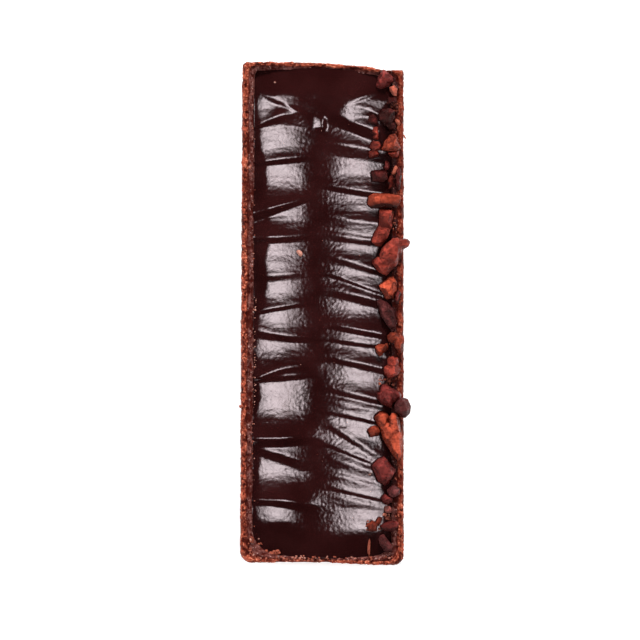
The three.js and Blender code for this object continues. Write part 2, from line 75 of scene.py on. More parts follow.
HALF_WIDTH = (shell_high[0] - shell_low[0]) / 2 / (1 + NEAR_FLARE)
HALF_LENGTH = shell_high[1]
HEIGHT = shell_high[2] - RIM_WAVE
FLOOR = filling_low[2] - GAP

SIDE_WALL = 3.0  # thickness of the long walls at the rim
FAR_WALL = 1.9
NEAR_WALL = 1.3
SKEW = 0.14  # how far the far end stands over to the nib side
FAR_SLANT = -1.6  # how far the far end's nib side is shifted along +Y
NEAR_SLANT = -0.7  # and the near end's
FAR_BULGE = 0.33  # how far the far end bows out between its corners
FAR_BULGE_SPAN = (-13.5, 15.5)  # where along X
FAR_WAVE = 0.13  # and how much that varies
EDGE_DROP = 1.2  # how far the filling's edge lies below the rim
DOME = 2.4  # how far its crown stands above its edge
DOME_POWER = 1.7  # how round the dome is across: 1 is a roof and 2 an arch
CROWN_X = -1.6
CROWN_BEND = 1.5  # how much nearer the bare side the crown lies at the near end
END_LENGTH = 6.5  # length over which it rounds down to each end
NEAR_DROP = 0.044  # bend of that rounding at the near end, per millimetre
FAR_DROP = 0.065
FAR_REACH = 0.9  # how far the filling laps over the far wall's inner slope
CHEEK_WIDTH = 1.6  # of the strip along the bare wall where the filling rounds away
CHEEK_EXTRA = 2.3  # how much wider it is over CHEEK_SPAN
CHEEK_SPAN = (-2, 41)  # where along Y
GUTTER_START = 14.9  # where along X the filling begins to fall towards the nibs' wall
BLOB_PLACE = (-0.9, 46.8)  # the small peak left by the rake
BLOB_RISE = 0.2  # its slopes, per millimetre
BLOB_FALL = 0.44

# ---- camera and lights ---------------------------------------------------------------------------

CAMERA_HEIGHT = 3.0
VIEW_WIDTH = 0.158  # what the picture spans at the rim's height
VIEW_CENTRE = (-0.0006, -0.0017)
LIGHT_HEIGHT = 2.0
BARE_LIGHT = (0.38, 1.30)  # how far out it begins and ends
NIB_LIGHT = (0.30, 0.98)
LIGHT_LENGTH = 0.72
LIGHT_RADIANCE = 23.0  # at the middle of a softbox
FAR_LIGHT_PLACE = (0.15, 2.1, 1.25)
FAR_LIGHT_SIZE = (0.5, 0.4)
FAR_LIGHT_RADIANCE = 110.0
EDGE_GLOW = 0.03  # share of a softbox's radiance left at its edge
WORLD_GREY = 0.03
STAGE_RADIUS = 4.0
STAGE_SIDES = 96
FLOOR_GLOW = 0.55
BACKDROP_HEIGHT = 2.4
BACKDROP_GLOW = 0.75
FLOOR_CLEARANCE = 0.0002  # the floor lies this far below the tart's base

# ---- folds of the filling ------------------------------------------------------------------------


class Fold(NamedTuple):
    """One fold of the raked filling. Distances run down the tart from its far end."""

    middle: float  # where its crest lies next to the middle of the tart
    wall: float  # and at the wall
    bow: float  # how far the crest bows between them
    rise: float  # how much longer than RUN_UP its climb is, next to the middle
    rise_wall: float  # and at the wall
    drop: float  # length of the steep side behind the crest, next to the middle
    drop_wall: float  # and at the wall
    step: float = 0.0  # how much lower the filling lies for good behind the fold


LEFT_FOLDS = [
    Fold(12.6, 6.3, 0.0, -1.4, -1.4, 1.1, 1.1),
    Fold(12.6, 15.7, -1.2, 3.4, -1.8, 4.0, 0.3, 0.22),
    Fold(23.0, 24.5, 0.0, 1.4, 0.3, 1.4, 0.5),
    Fold(33.6, 36.8, 0.0, 2.6, 5.4, 0.6, 0.5),
    Fold(42.4, 43.0, 0.2, 1.6, 5.0, 1.4, 1.0),
    Fold(51.6, 52.6, 0.2, -0.2, 0.2, 1.2, 1.2),
    Fold(59.3, 61.5, -0.2, 0.5, 2.2, 0.4, 0.4),
    Fold(67.7, 65.8, 0.2, 2.0, 0.3, 1.2, 1.6),
    Fold(74.6, 78.3, -0.8, 4.0, 3.6, 1.8, 0.4),
    Fold(76.8, 77.9, 0.0, -0.6, -1.4, 0.6, 0.3),
    Fold(92.1, 92.6, 0.3, 6.0, 6.0, 0.6, 0.3),
    Fold(98.0, 94.4, 0.0, -0.6, -1.6, 2.8, 1.7),
    Fold(108.7, 107.9, -0.3, 6.0, 4.0, 1.3, 0.4),
]
RIGHT_FOLDS = [
    Fold(11.9, 5.2, 0.0, 0.6, 0.4, 0.6, 0.6),
    Fold(12.0, 12.9, -2.2, -0.8, -0.8, 5.5, 0.3, 0.1),
    Fold(12.4, 16.8, 0.0, -0.5, -0.5, 2.6, 3.0, 0.4),
    Fold(19.5, 21.4, 0.0, -0.5, -0.5, 3.0, 3.0, 0.2),
    Fold(30.2, 31.9, 0.2, 0.2, 2.4, 1.0, 1.4),
    Fold(37.6, 39.6, 0.2, 0.5, 0.8, 3.2, 3.2),
    Fold(42.2, 43.8, 0.0, 0.3, 0.3, 1.6, 1.4),
    Fold(47.2, 51.6, 0.0, 0.4, 3.0, 1.7, 1.1),
    Fold(52.1, 57.0, 0.0, 0.6, 0.6, 0.3, 0.3),
    Fold(55.6, 59.0, -0.2, 0.3, 0.3, 2.0, 2.0),
    Fold(64.5, 66.9, 0.0, 2.4, 4.0, 1.0, 1.1),
    Fold(67.9, 69.6, 0.2, 0.3, 0.3, 0.7, 0.7),
    Fold(72.4, 75.4, 0.0, 2.0, 1.8, 1.2, 1.2),
    Fold(80.0, 83.4, 0.0, 0.9, 2.7, 1.4, 1.2),
    Fold(83.2, 86.0, 0.0, 0.3, 0.3, 1.6, 1.8),
    Fold(85.6, 89.0, 0.0, 0.3, 0.2, 0.9, 0.3),
    Fold(89.2, 97.6, 0.0, 0.4, 0.6, 1.0, 1.7),
    Fold(94.3, 99.8, 0.0, 0.3, 0.3, 0.3, 0.3),
    Fold(97.3, 101.4, 0.0, 0.3, 0.3, 2.6, 2.6),
    Fold(101.2, 104.6, 0.0, 0.3, 0.3, 2.0, 2.2),
    Fold(104.5, 107.4, 0.0, 1.0, 1.2, 0.7, 0.7),
    Fold(106.4, 109.6, 0.0, 0.3, 0.2, 3.0, 0.4),
]
RUN_UP = 2.8  # length of a plain fold's climb
RISE_BEND = 0.03  # how fast a climb steepens, per millimetre
CREST = 0.9  # length over which a crest is rounded
DROP_SLOPE = 0.15  # fall wanted behind a crest, per millimetre
STEEPEST = 0.42  # most it may be
SHORTEST_DROP = 0.3
SHORTEST_RUN = 0.5  # of the ground between two folds
LEVEL_TILT = 0.045  # most that ground rises, per millimetre
LOWEST = 0.3  # most it lies below the mean
FOLDS_BEGIN = -20.0  # the raked ground begins and ends well outside the tart
FOLDS_END = 200.0


# ---- helpers -------------------------------------------------------------------------------------


def smooth(t):
    """Goes smoothly from 0 to 1 as t does, and stays there."""
    t = np.clip(t, 0, 1)
    return t * t * (3 - 2 * t)


def mix(a, b, t):
    """What lies at share t of the way from a to b."""
    return a + (b - a) * t


def far_bulge(x):
    """How far the far end bows out, between its two corners."""
    inside = smooth((x - FAR_BULGE_SPAN[0]) / 3) * smooth((FAR_BULGE_SPAN[1] - x) / 3.5)
    return inside * (FAR_BULGE + FAR_WAVE * np.cos(0.35 * (x + 8)))


def settle(x, y):
    """The tart is hand-lined, so its plan is not quite a rectangle."""
    along = y / HALF_LENGTH
    slant = np.where(along > 0, FAR_SLANT, NEAR_SLANT) * smooth((x + 2) / HALF_WIDTH)
    slant = slant + np.where(along > 0, far_bulge(x), 0)
    return x * (1 - NEAR_FLARE * along) + SKEW * along, y + slant * np.abs(along) ** 3


def fractal(points, size, seed, octaves):
    """Fractal noise, about -1 to 1, with lumps of the given size."""
    shift = Vector((seed * 17.3, seed * 5.1, seed * 9.7))
    return np.array([noise.fractal(Vector(p) / size + shift, 1.0, 2.0, octaves) for p in points])


def cells(points, size, seed):
    """Distance to the nearest of many scattered grains, in grain sizes."""
    shift = Vector((seed * 7.9, seed * 15.7, seed * 3.3))
    return np.array([noise.voronoi(Vector(p) / size + shift)[0][0] for p in points])


def blurred(grid, down, across):
    """Softens a grid by averaging each value with its neighbours, so many times along each axis."""
    for axis, times in ((0, down), (1, across)):
        for _ in range(times):
            padded = np.pad(grid, [(1, 1) if a == axis else (0, 0) for a in (0, 1)], "edge")
            before = padded.take(range(0, grid.shape[axis]), axis)
            after = padded.take(range(2, grid.shape[axis] + 2), axis)
            grid = (before + 2 * grid + after) / 4
    return grid


def grid_faces(rows, columns, closed=False):
    """Quads of a grid of points, row by row. A closed grid joins its last column to its first."""
    row, column = np.meshgrid(np.arange(rows - 1), np.arange(columns - (not closed)), indexing="ij")
    after = (column + 1) % columns
    a = row * columns + column
    b = row * columns + after
    return np.stack([a, b, b + columns, a + columns], -1).reshape(-1, 4)


def make_piece(name, points_mm, faces, material, slot, replaced):
    """One visible piece, riding on the body root in place of the replaced nodes."""
    mesh = bpy.data.meshes.new(name)
    mesh.from_pydata((np.asarray(points_mm) * MM).tolist(), [], [list(f) for f in faces])
    mesh.shade_smooth()
    mesh.materials.append(material)
    piece = bpy.data.objects.new(name, mesh)
    bpy.context.scene.collection.objects.link(piece)
    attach(piece, "root")
    if replaced:
        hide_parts(*replaced)
    return piece


def add_masks(piece, masks):
    """Stores each mask, one value for each point, for the piece's material to read."""
    for name, values in masks.items():
        attribute = piece.data.attributes.new(name, "FLOAT", "POINT")
        attribute.data.foreach_set("value", np.asarray(values, np.float32))


# ---- shell ---------------------------------------------------------------------------------------

# Each plan has its corner radii from the near corner on the nib side, anticlockwise.
SHELL_PLAN = {
    "half": HALF_WIDTH,
    "near": HALF_LENGTH,
    "far": HALF_LENGTH,
    "radii": (2.4, 0.5, 1.2, 2.9),
    "bow": 0.0,
}
FILLING_PLAN = {
    "half": HALF_WIDTH - SIDE_WALL,
    "near": HALF_LENGTH - NEAR_WALL,
    "far": HALF_LENGTH - FAR_WALL,
    "radii": (4.0, 1.5, 1.2, 6.0),
    "bow": 1.4,
}
ARC_STEPS = 16
LONG_STEPS = 400
SHORT_STEPS = 132
SMALLEST_RADIUS = 0.5


def ring(plan, inset):
    """Points round a rounded rectangle, anticlockwise from the near corner on the nib side."""
    half = plan["half"] - inset
    near = -(plan["near"] - inset)
    far = plan["far"] - inset
    corners = [(1, near, -1, -90), (1, far, 1, 0), (-1, far, 1, 90), (-1, near, -1, 180)]
    radii = [max(r - inset, SMALLEST_RADIUS) for r in plan["radii"]]
    points = []
    for i, (side, y, end, turn) in enumerate(corners):
        centre = np.array([side * (half - radii[i]), y - end * radii[i]])
        for a in np.radians(turn + 90 * np.arange(ARC_STEPS + 1) / ARC_STEPS):
            points.append(centre + radii[i] * np.array([math.cos(a), math.sin(a)]))
        next_side, next_y, next_end, _ = corners[(i + 1) % 4]
        r = radii[(i + 1) % 4]
        if i % 2 == 0:
            goal, steps = np.array([next_side * half, next_y - next_end * r]), LONG_STEPS
        else:
            goal, steps = np.array([next_side * (half - r), next_y]), SHORT_STEPS
        here = points[-1]
        points += [mix(here, goal, k / steps) for k in range(1, steps)]
    x, y = np.array(points).T
    return np.stack(settle(x, y + drawn_in(plan, x, y)), -1)


def drawn_in(plan, x, y):
    """How far the near end draws back towards its corners."""
    return np.where(y < 0, plan["bow"] * (x / plan["half"]) ** 2 * (y / plan["near"]) ** 8, 0)


def shell_rows():
    """The shell's skin from the base, up the outside, over the rim and down inside.

    Each row is (plan points, height, how rough it is, how far it lies on the inner slope). The key
    rows also say how many steps lead on to the next one. The rim has two layers of dough with an
    uneven seam between them."""
    edge = ring(SHELL_PLAN, 0)
    lip = ring(FILLING_PLAN, 0)
    around = np.column_stack([edge, np.zeros(len(edge))])
    wander = 0.10 * fractal(around, 5.0, 31, 2) + 0.05 * fractal(around, 1.6, 32, 2)
    seam_depth = 0.45 + 0.35 * fractal(around, 3.0, 33, 2)

    def over(share):
        return mix(edge, lip, (share + 4 * share * (1 - share) * wander)[:, None])

    top = HEIGHT
    keys = [
        (ring(SHELL_PLAN, 10), 0, 0, 0, 2),
        (ring(SHELL_PLAN, 1.0), 0, 0.1, 0, 2),
        (ring(SHELL_PLAN, 0.25), 0.3, 0.3, 0, 2),
        (edge, 1.1, 0.5, 0, 30),
        (edge, top - 0.9, 0.8, 0, 3),
        (over(0.06), top - 0.25, 1.0, 0, 2),
        (over(0.16), top, 1.0, 0, 5),
        (over(0.42), top - 0.1, 1.0, 0.1, 2),
        (over(0.50), top - 0.1 - seam_depth, 0.7, 0.5, 2),
        (over(0.58), top - 0.35, 0.8, 1.0, 7),
        (over(0.90), top - 0.75, 0.7, 1.0, 2),
        (lip, top - 1.5, 0.3, 1.0, 5),
        (lip, top - 4.0, 0, 1.0, 2),
        (lip, FLOOR + 1.2, 0, 1.0, 1),
        (ring(FILLING_PLAN, 1.4), FLOOR, 0, 1.0, 0),
    ]
    rows = []
    for here, there in zip(keys, keys[1:]):
        for k in range(here[4]):
            t = k / here[4]
            rows.append(tuple(mix(here[i], there[i], t) for i in range(4)))
    rows.append(keys[-1][:4])
    return rows


NOTCH_DEPTH = 2.4
NOTCH_SPAN = (14.0, 17.3)  # where along X the chip in the far wall lies
NOTCH_REACH = 6.0  # how far down from the rim it reaches
CORNER_LUMP = 0.5  # how far the lump at the far bare-side corner stands out
LUMP_START = 10.5  # how far out from the middle it begins
RIM_UNEVENNESS = 0.24
NIB_SHADE_START = (14, -50)  # beyond this, along X and Y, the nib side's rim gets painted shade


def crumb_relief(points):
    """Height of the baked crumb's surface: small lumps with crevices between them."""
    lumps = 0.45 - cells(points, 0.95, 1)
    grit = 0.45 - cells(points, 0.5, 2)
    swell = fractal(points, 3.0, 3, 2)
    pits = smooth((fractal(points, 0.9, 4, 2) - 0.3) / 0.3)
    return 0.4 * lumps + 0.32 * grit + 0.2 * swell - 0.3 * pits


def corner_lump(points):
    """Dough folded over the far bare-side corner, standing out beyond the straight end."""
    x, y, z = points.T
    along = smooth((-x - LUMP_START) / 2.5)
    beyond = smooth((y - HALF_LENGTH + 2.6) / 1.2)
    lumpy = 1 + 0.6 * fractal(points, 2.2, 9, 2)
    return CORNER_LUMP * along * beyond * smooth((z - 8) / 6) * lumpy


def notch(points):
    """The chip in the far wall: how much of the rim's height is missing at each point."""
    x, y, z = points.T
    across = smooth((x - NOTCH_SPAN[0]) / 0.7) * smooth((NOTCH_SPAN[1] - x) / 0.5)
    depth = NOTCH_DEPTH * across * smooth((y - HALF_LENGTH + 4.5) / 1.0)
    return depth * np.clip((z - (HEIGHT - NOTCH_REACH)) / NOTCH_REACH, 0, 1)


def shell_skin(rows):
    """The rows' points moved out along their normals by the crumb's relief, and that relief."""
    skin = np.array([np.column_stack([plan, z + 0 * plan[:, 0]]) for plan, z, _, _ in rows])
    rough = np.array([row[2] for row in rows])[:, None]
    shape = skin.shape[:2]
    around = np.roll(skin, -1, 1) - np.roll(skin, 1, 1)
    normals = np.cross(around, np.gradient(skin, axis=0))
    normals /= np.linalg.norm(normals, axis=-1, keepdims=True) + 1e-9
    relief = crumb_relief(skin.reshape(-1, 3)).reshape(shape)
    uneven = RIM_UNEVENNESS * fractal(skin.reshape(-1, 3), 3.5, 12, 2).reshape(shape)
    skin = skin + normals * ((relief + uneven) * rough)[..., None]
    skin[..., 1] += corner_lump(skin.reshape(-1, 3)).reshape(shape)
    skin[..., 2] -= notch(skin.reshape(-1, 3)).reshape(shape)
    return skin.reshape(-1, 3), relief.ravel()


def make_shell(material):
    """The shell's skin, closed by its base and by the dough under the filling."""
    rows = shell_rows()
    skin, relief = shell_skin(rows)
    middles = [[0, 0, 0], [0, 0, FLOOR]]
    points = np.concatenate([skin, middles])
    under, inside = len(skin), len(skin) + 1
    count = len(skin) // len(rows)
    last = len(skin) - count
    faces = grid_faces(len(rows), count, closed=True).tolist()
    for i in range(count):
        j = (i + 1) % count
        faces.append((under, j, i))
        faces.append((inside, last + i, last + j))
    shell = make_piece("shortcrust_shell", points, faces, material, "crust", ["crust"])
    x, y, z = points.T
    inner = np.append(np.repeat([row[3] for row in rows], count), [0, 0])
    masks = {
        "inner_slope": inner,
        "seam": np.clip(1 - 2.2 * np.abs(inner - 0.55), 0, 1),
        "relief": np.append(relief, [0, 0]),
        "wall": smooth((HEIGHT - 0.9 - z) / 1.5),
        # Where the nib side's rim gets painted shade.
        "smeared": smooth((x - NIB_SHADE_START[0]) / 2) * smooth((y - NIB_SHADE_START[1]) / 6),
    }
    add_masks(shell, masks)


# ---- filling -------------------------------------------------------------------------------------

COLUMNS = 168
ROWS = 545


def climb(rise, done):
    """Height gained on the way up to a crest: ever steeper, then rounded off at the top."""
    steep = np.clip(rise - CREST, 0, None)
    top = np.clip(done - steep, 0, CREST)
    return RISE_BEND * (np.minimum(done, steep) ** 2 / 2 + steep * (top - top**2 / (2 * CREST)))


def fold_height(folds, down, out):
    """Height of the folds of one side, which climb to each crest and drop off behind it.

    Between two folds the ground rises a little, so that each drop is as steep as wanted."""
    level = np.zeros_like(down)
    # Stretch k begins at a crest, drops off behind it and climbs to the next crest, number k.
    crests = [mix(f.middle, f.wall, out) + 4 * f.bow * out * (1 - out) for f in folds]
    rises = [np.maximum(mix(f.rise, f.rise_wall, out) + RUN_UP, 0) for f in folds]
    drops = [np.maximum(mix(f.drop, f.drop_wall, out), SHORTEST_DROP) for f in folds]
    starts = [level + FOLDS_BEGIN] + crests
    ends = crests + [level + FOLDS_END]
    # A steep side is made longer where its fall would be too steep.
    lifts = [climb(rise, rise) for rise in rises]
    dips = [np.minimum(lift / 2, LOWEST) for lift in lifts] + [level]
    falls = [lift - dips[k] + dips[k + 1] for k, lift in enumerate(lifts)]
    drops = [level + 1] + [np.maximum(drop, fall / STEEPEST) for drop, fall in zip(drops, falls)]
    # Where a fall would be too gentle, the ground before its crest rises more.
    runs = [np.maximum(b - a - d, SHORTEST_RUN) for a, b, d in zip(starts, ends, drops)]
    tilts = [
        np.clip(DROP_SLOPE * drop - lift, 0, LEVEL_TILT * run)
        for drop, lift, run in zip(drops[1:], lifts, runs)
    ]
    # How far each crest stands above the ground before it, and that ground lies below the mean.
    gains = [level] + [lift + tilt for lift, tilt in zip(lifts, tilts)] + [level]
    lows = [np.minimum(gain / 2, LOWEST) for gain in gains]
    height = level
    steps = [0.0] + [f.step for f in folds]
    for k, (start, end) in enumerate(zip(starts, ends)):
        crest = gains[k] - lows[k]
        fall = crest + lows[k + 1] + steps[k]
        here = crest + sum(steps[k:]) - fall * np.clip((down - start) / drops[k], 0, 1)
        if k < len(folds):
            here = here + tilts[k] * np.clip((down - start - drops[k]) / runs[k], 0, 1)
            here = here + climb(rises[k], np.clip(down - end + rises[k], 0, rises[k]))
        height = np.where((down >= start) & (down < end), here, height)
    return height


def cheek(x, y):
    """Along part of the bare wall the filling rounds away more steeply, in a strip."""
    wide = smooth((y - CHEEK_SPAN[0]) / 10) * smooth((CHEEK_SPAN[1] - y) / 5)
    width = CHEEK_WIDTH + CHEEK_EXTRA * wide
    width = width + 0.45 * np.sin(0.31 * y + 1) + 0.25 * np.sin(0.83 * y) + 0.08 * np.sin(2.3 * y)
    inside = np.maximum(width - FILLING_PLAN["half"] - x, 0)
    return -0.11 * inside * smooth(inside / 1.8)


def gutter(x, y):
    """The filling falls away unevenly towards the wall under the nibs."""
    start = GUTTER_START + 0.8 * np.sin(0.37 * y) + 0.5 * np.sin(1.07 * y + 1)
    inside = np.maximum(x - start, 0)
    return -0.2 * inside * smooth(inside / 1.8)


def blob(x, y):
    """A small peak that the rake left near the far end, sloping up from the bare side."""
    out, along = x - BLOB_PLACE[0], y - BLOB_PLACE[1]
    peak = BLOB_RISE * np.clip(out + 1.4, 0, 2.2) - BLOB_FALL * np.clip(out - 0.8, 0, 1)
    return peak * (1 - 0.2 * along) * smooth((2.2 - np.abs(along)) / 1.3)


def filling_top(x, y):
    """Height of the filling: a dome that rounds down to both ends, with the folds on it."""
    half = FILLING_PLAN["half"]
    crown = CROWN_X - CROWN_BEND * smooth((-y - 38) / 12)
    across = (x - crown) / np.where(x < crown, half + crown, half - crown)
    from_middle = np.abs(y) + np.where(y < 0, 2.6 * smooth(-x / 10), 0)
    into_end = np.maximum(0, from_middle - (FILLING_PLAN["far"] - END_LENGTH))
    down = HALF_LENGTH - y
    left = fold_height(LEFT_FOLDS, down, np.clip((-x - 4.3) / (half - 4.5), 0, 1.1))
    right = fold_height(RIGHT_FOLDS, down, np.clip((x - 1.9) / (half - 3.5), 0, 1.1))
    folds = left * smooth((-x + 1.8) / 11) + right * smooth((x + 5) / 11)
    end_drop = np.where(y < 0, NEAR_DROP, FAR_DROP) * into_end**2 / (1 + 0.12 * into_end)
    dome = DOME * (1 - np.abs(across) ** DOME_POWER) - end_drop
    return HEIGHT - EDGE_DROP + dome + folds + cheek(x, y) + gutter(x, y) + blob(x, y)


def corner_inset(r, from_end):
    """How far a corner of radius r draws the side in, at this distance from the end."""
    inside = np.clip(r * r - (r - from_end) ** 2, 0, None)
    return np.where(from_end < r, r - np.sqrt(inside), 0)


def filling_plan():
    """Plan points of the filling, row by row from the near end, reaching just into the shell."""
    half = FILLING_PLAN["half"] + GAP
    near = FILLING_PLAN["near"] + GAP
    far = FILLING_PLAN["far"] + FAR_REACH
    near_right, far_right, far_left, near_left = FILLING_PLAN["radii"]
    y = mix(-near, far, np.linspace(0, 1, ROWS))[:, None]
    left = np.maximum(corner_inset(near_left, y + near), corner_inset(far_left, far - y)) - half
    right = half - np.maximum(corner_inset(near_right, y + near), corner_inset(far_right, far - y))
    x = mix(left, right, np.linspace(0, 1, COLUMNS)[None, :])
    plan = {"half": half, "near": near, "bow": FILLING_PLAN["bow"]}
    return x, y + drawn_in(plan, x, y)


def surface_ripple(x, y):
    """Small unevenness of the set ganache, with a stronger grain along its middle."""
    flat = np.stack([x.ravel(), y.ravel(), np.zeros(x.size)], -1)
    sweep = fractal(flat * (0.6, 1.0, 1.0), 5.0, 21, 2).reshape(x.shape)
    patches = fractal(flat, 2.2, 22, 2).reshape(x.shape)
    grain = fractal(flat, 0.7, 23, 3).reshape(x.shape)
    drag = fractal(flat * (0.22, 1.0, 1.0), 1.1, 24, 2).reshape(x.shape)
    broken = 1 + 1.1 * smooth((7.5 - np.abs(x + 0.5)) / 3)
    return 0.05 * sweep + 0.007 * patches + 0.009 * broken * grain + 0.014 * drag


def make_filling(material):
    """The filling's raked top, closed by upright sides and a flat base."""
    x, y = filling_plan()
    z = blurred(filling_top(x, y), 3, 6) + surface_ripple(x, y)
    plan_x, plan_y = settle(x, y)
    top = np.stack([plan_x, plan_y, z], -1).reshape(-1, 3)
    at = np.arange(ROWS * COLUMNS).reshape(ROWS, COLUMNS)
    rim = np.concatenate([at[0, :-1], at[:-1, -1], at[-1, :0:-1], at[:0:-1, 0]])
    foot = top[rim] * (1, 1, 0) + (0, 0, FLOOR)
    points = np.concatenate([top, foot, [[0, 0, FLOOR]]])
    faces = grid_faces(ROWS, COLUMNS).tolist()
    base, centre = len(top), len(points) - 1
    for i in range(len(rim)):
        j = (i + 1) % len(rim)
        faces.append((rim[i], base + i, base + j, rim[j]))
        faces.append((base + i, centre, base + j))
    make_piece("raked_ganache", points, faces, material, "ganache", ["ganache"])


# ---- nibs ----------------------------------------------------------------------------------------

NIB_VOXEL = 0.17
NIB_SWELL = 0.14  # what the smoothing and the chips take off
NIB_SEAT = 0.6  # how far a nib's underside is carried down into what it lies on
NIB_POINTS_PER_CHIP = 330
FEWEST_CHIPS = 4
CHIP_REACH = (0.8, 2.0)  # smallest and largest radius of a chip
CHIP_DEPTH = (0.15, 0.55)
FIRST_NIB_SEED = 50
SMOOTH_NIBS = ("nib_15", "nib_24", "nib_31")  # skins without chips
PALE_NIBS = ("nib_02", "nib_30")
SKINNED_NIB = "nib_15"  # dark skin left along its near side
FLANK_SHADE = 0.55  # how much painted shade darkens a nib's near flank
SMOOTH_FLANK_SHADE = 0.95

# How light each nib is beside the others of its colour, 0 to 1.
NIB_TONES = {
    "nib_01": 0.55,
    "nib_02": 1.0,
    "nib_03": 0.35,
    "nib_04": 0.15,
    "nib_05": 0.3,
    "nib_06": 0.6,
    "nib_07": 0.2,
    "nib_08": 0.8,
    "nib_09": 0.35,
    "nib_10": 0.6,
    "nib_11": 0.45,
    "nib_12": 0.0,
    "nib_13": 0.4,
    "nib_14": 0.5,
    "nib_15": 0.3,
    "nib_16": 0.55,
    "nib_17": 0.7,
    "nib_18": 0.9,
    "nib_19": 0.1,
    "nib_20": 0.15,
    "nib_21": 0.25,
    "nib_22": 0.9,
    "nib_23": 0.5,
    "nib_24": 0.3,
    "nib_25": 0.6,
    "nib_26": 0.15,
    "nib_27": 0.5,
    "nib_28": 0.7,
    "nib_29": 0.25,
    "nib_30": 1.0,
    "nib_31": 0.15,
    "nib_32": 0.0,
    "nib_33": 0.35,
}


def remeshed(mesh, voxel):
    """An even, closed mesh over the same shape."""
    holder = bpy.data.objects.new("remesh_tmp", mesh)
    bpy.context.scene.collection.objects.link(holder)
    modifier = holder.modifiers.new("even", "REMESH")
    modifier.mode = "VOXEL"
    modifier.voxel_size = voxel
    graph = bpy.context.evaluated_depsgraph_get()
    made = bpy.data.meshes.new_from_object(holder.evaluated_get(graph))
    bpy.data.objects.remove(holder)
    return made


def relax(mesh, times):
    """Smooths the mesh in place."""
    work = bmesh.new()
    work.from_mesh(mesh)
    for _ in range(times):
        bmesh.ops.smooth_vert(
            work, verts=work.verts, factor=0.5, use_axis_x=True, use_axis_y=True, use_axis_z=True
        )
    work.to_mesh(mesh)
    work.free()


def chipped(points, normals, chips, seed):
    """Flat facets struck off the surface, each round a point of it picked at random, and which
    facet each point ended up on, as a number from 0 to 1."""
    rng = np.random.default_rng(seed)
    upper = np.flatnonzero(normals[:, 2] > 0)
    facet = np.full(len(points), 0.5)
    for at in rng.choice(upper, chips):
        tilt = normals[at] + 0.4 * rng.standard_normal(3)
        tilt /= np.linalg.norm(tilt)
        distance = np.linalg.norm(points - points[at], axis=1)
        near = smooth((rng.uniform(*CHIP_REACH) - distance) / 0.15)
        height = points @ tilt
        level = height[near > 0.5].max() - rng.uniform(*CHIP_DEPTH)
        above = np.clip(height - level, 0, None) * near
        points = points - tilt * above[:, None]
        facet[above > 0.04] = rng.uniform(0, 1)
    return points, facet


def broken_surface(points, seed):
    """Relief of a broken bean: ridges along its length, grit and hairline cracks."""
    flat = points[:, :2] - points[:, :2].mean(0)
    _, _, axes = np.linalg.svd(flat, full_matrices=False)
    along = np.column_stack([flat @ axes.T, points[:, 2]])
    ridges = fractal(along * (0.35, 1.0, 1.0), 0.8, seed, 2)
    grit = fractal(points, 0.45, seed + 1, 2)
    crack = np.abs(fractal(along * (1.4, 0.7, 0.7), 1.5, seed + 2, 1))
    return 0.08 * ridges + 0.05 * grit - 0.12 * (1 - smooth(crack / 0.04))


def mesh_arrays(mesh):
    """The mesh's points and their normals."""
    points = np.empty(len(mesh.vertices) * 3)
    normals = np.empty(len(mesh.vertices) * 3)
    mesh.vertices.foreach_get("co", points)
    mesh.vertex_normals.foreach_get("vector", normals)
    return points.reshape(-1, 3), normals.reshape(-1, 3)


def rounded_node(node):
    """The node's solid as an even mesh with its corners rounded."""
    source = frame["nodes"][node].data.copy()
    source.transform(Matrix.Scale(1 / MM, 4))
    source.materials.clear()
    mesh = remeshed(source, NIB_VOXEL)
    relax(mesh, 1)
    return mesh


def edge_mask(mesh):
    """How sharp an edge each point lies on: how far more smoothing would pull it in."""
    points, normals = mesh_arrays(mesh)
    relax(mesh, 5)
    pulled = ((points - mesh_arrays(mesh)[0]) * normals).sum(1)
    return smooth((pulled - 0.02) / 0.08)


def painted_light_and_shade(node, normals):
    """Painted light and shade on the nibs: lighter where they face up, and darker on their near flank.
    """
    flank = smooth((-normals[:, 1] - 0.1) / 0.45)
    shade = SMOOTH_FLANK_SHADE if node in SMOOTH_NIBS else FLANK_SHADE
    upward = 0.06 + 0.94 * smooth((normals[:, 2] - 0.05) / 0.75)
    return upward * (1 - shade * flank)


def dark_skin(node, points):
    """The arched strip of dark skin along one nib's near side."""
    x, y, _ = points.T
    arch = 1.2 + 0.4 * np.cos(0.7 * (x - x.mean()))
    return smooth((y.min() + arch - y) / 0.25) * (node == SKINNED_NIB)


def nib_from_node(node, slot, material, seed):
    """Chips and roughens the node's solid, and seats it on what it lies on."""
    mesh = rounded_node(node)
    points, normals = mesh_arrays(mesh)
    lean = fractal(normals + 0.02 * points, 0.55, seed + 7, 1)
    relief = broken_surface(points, seed)
    chips = 0 if node in SMOOTH_NIBS else FEWEST_CHIPS + len(points) // NIB_POINTS_PER_CHIP
    points, facet = chipped(points + NIB_SWELL * normals, normals, chips, seed)
    points = points + normals * relief[:, None]
    low, high = points[:, 2].min(), points[:, 2].max()
    height = (points[:, 2] - low) / (high - low)
    points[:, 2] -= NIB_SEAT * (1 - smooth(height / 0.6))
    faces = [tuple(face.vertices) for face in mesh.polygons]
    nib = make_piece(f"{node}_broken", points, faces, material, slot, [node])
    skin = dark_skin(node, points)
    masks = {
        "relief": relief,
        "tone": np.full(len(points), NIB_TONES[node]),
        # The facet mask holds each facet's own tone with painted shade on it: lighter facing up,
        # darker on the near flank.
        "facet": np.clip(facet + 0.7 * lean, 0, 1) * painted_light_and_shade(node, normals) * (1 - skin),
        "skin": skin,
        "pale": np.full(len(points), float(node in PALE_NIBS)),
        "edge": edge_mask(mesh),
        # The foot mask is where painted shade darkens a nib towards its underside.
        "foot": 1 - smooth((height - 0.1) / 0.5),
    }
    add_masks(nib, masks)


